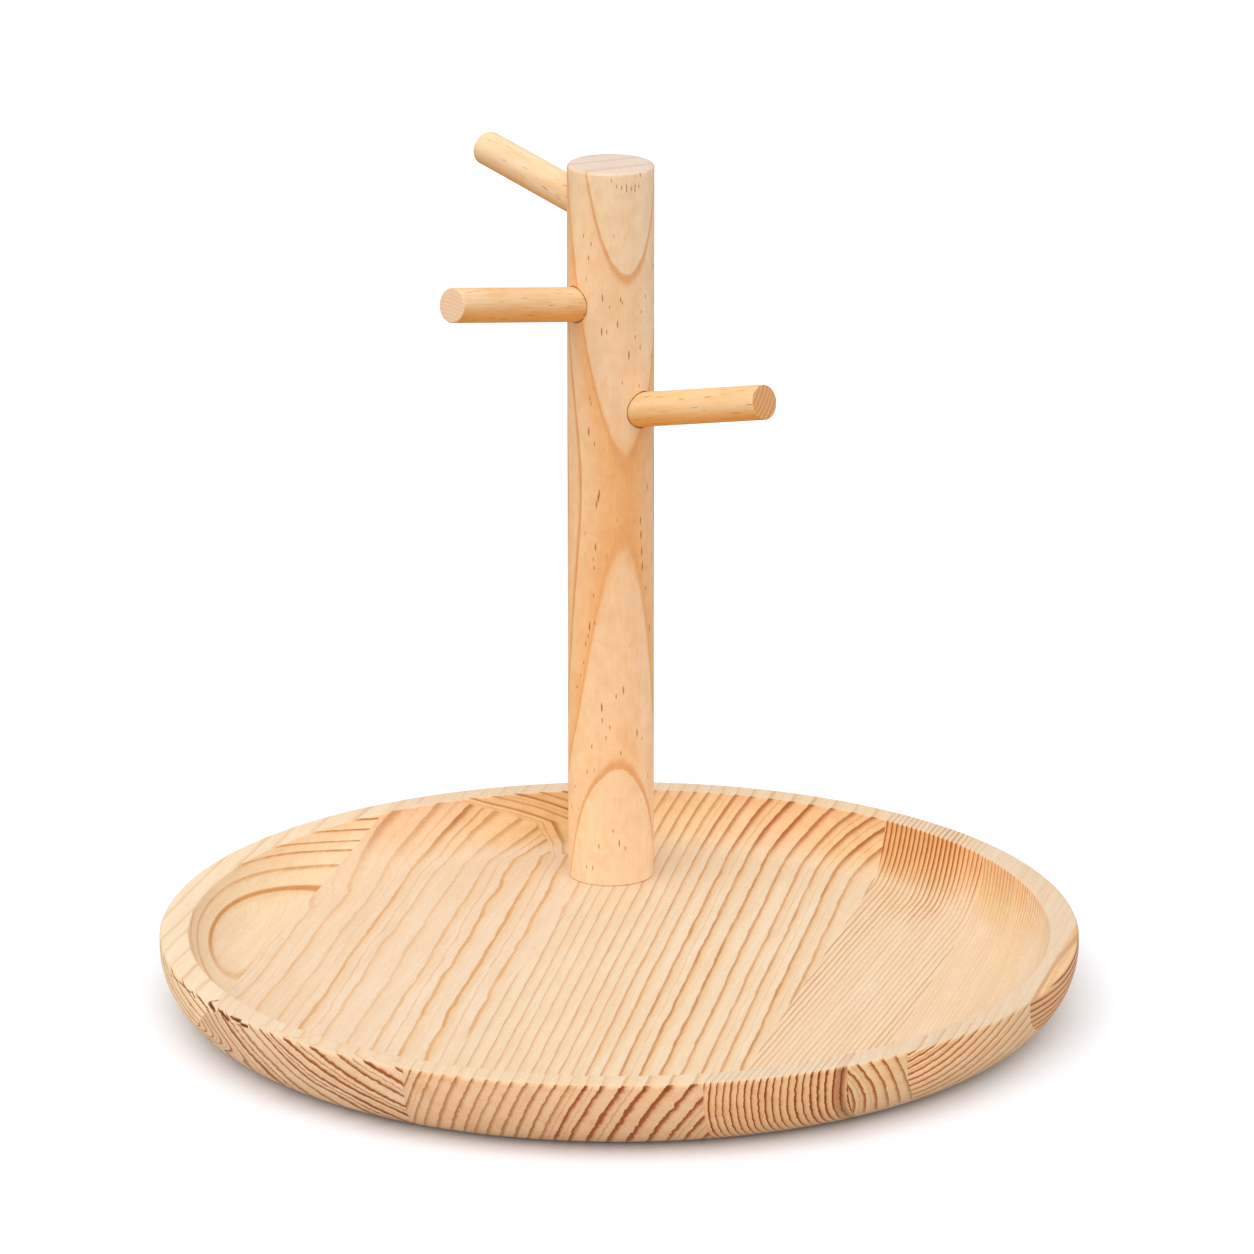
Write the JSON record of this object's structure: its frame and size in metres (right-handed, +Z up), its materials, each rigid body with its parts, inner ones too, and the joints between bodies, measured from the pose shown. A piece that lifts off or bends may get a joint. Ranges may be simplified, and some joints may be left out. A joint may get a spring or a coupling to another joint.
{
  "type": "table-top key stand",
  "caption": "Free-standing key stand: a round dished pine tray for small things, with an upright dowel post near its back edge that carries plain dowel pegs for key rings.",
  "frame": {"origin": "on the table, under the centre of the round tray", "axes": "+Z up; +Y from the tray's centre towards the post, so the front is -Y; +X to the right seen from the front"},
  "size_m": [0.31, 0.3238, 0.265],
  "materials": {
    "tray_pine": "satin clear-oiled pine, edge-glued strips",
    "post_pine": "satin clear-oiled pine dowel",
    "peg_wood": "satin clear-oiled dowel",
    "zinc_steel": "zinc-plated"
  },
  "bodies": {
    "root": {"tray_stave_1": "tray_pine", "tray_stave_2": "tray_pine", "tray_stave_3": "tray_pine", "tray_stave_4": "tray_pine", "tray_stave_5": "tray_pine", "tray_stave_6": "tray_pine", "tray_stave_7": "tray_pine", "post": "post_pine", "peg_back": "peg_wood", "peg_left": "peg_wood", "peg_right": "peg_wood", "post_screw": "zinc_steel"}
  },
  "joints": []
}
